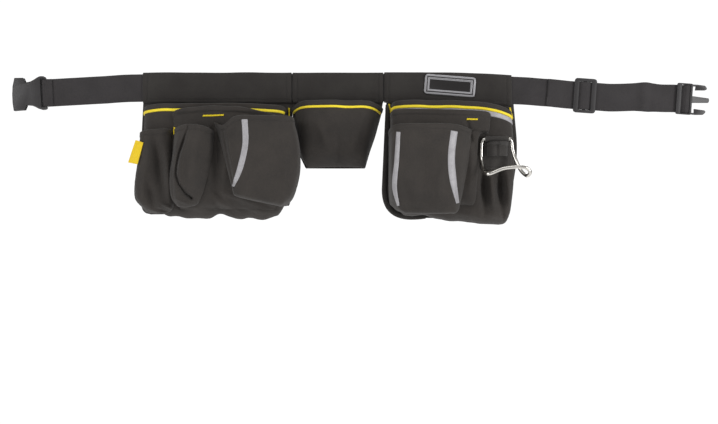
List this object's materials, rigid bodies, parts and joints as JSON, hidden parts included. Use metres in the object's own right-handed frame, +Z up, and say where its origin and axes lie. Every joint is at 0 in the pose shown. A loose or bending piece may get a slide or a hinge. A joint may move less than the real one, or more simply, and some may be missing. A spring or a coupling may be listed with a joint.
{
  "type": "tool belt pouch",
  "caption": "Cloth tool belt: pouch panels on one webbing strap, with pockets, a tape pouch, a steel hammer loop, a slider and a side-release buckle.",
  "frame": {"origin": "on the back of the middle panel, at the height of the strap's centre line", "axes": "+X along the strap, to the right as seen from the front; +Y backwards, to the wearer; +Z up"},
  "size_m": [1.0096, 0.0998, 0.2194],
  "materials": {
    "cloth": "matte woven",
    "sleeve": "matte woven",
    "strap": "matte webbing",
    "binding": "matte tape",
    "piping": "woven tape",
    "reflective": "satin reflective tape",
    "plastic": "satin",
    "badge": "satin",
    "steel": "polished"
  },
  "bodies": {
    "root": {"belt_webbing": "strap", "left_panel": "sleeve", "middle_panel": "sleeve", "right_panel": "sleeve", "right_binding": "binding", "left_main_pouch": "cloth", "left_main_piping": "piping", "left_middle_pocket": "cloth", "left_level_pocket": "cloth", "left_knife_pocket": "cloth", "left_front_pouch": "cloth", "left_front_stripe": "reflective", "left_label": "piping", "tape_pouch": "cloth", "tape_piping": "piping", "right_main_pouch": "cloth", "right_main_piping": "piping", "right_main_reflective": "reflective", "right_middle_pocket": "cloth", "right_front_pouch": "cloth", "right_front_stripe_right": "reflective", "right_front_stripe_left": "reflective", "hammer_tab": "binding", "tool_band": "binding", "hammer_loop": "steel", "badge": "badge", "buckle_female": "plastic", "buckle_male": "plastic", "slider": "plastic"}
  },
  "joints": []
}
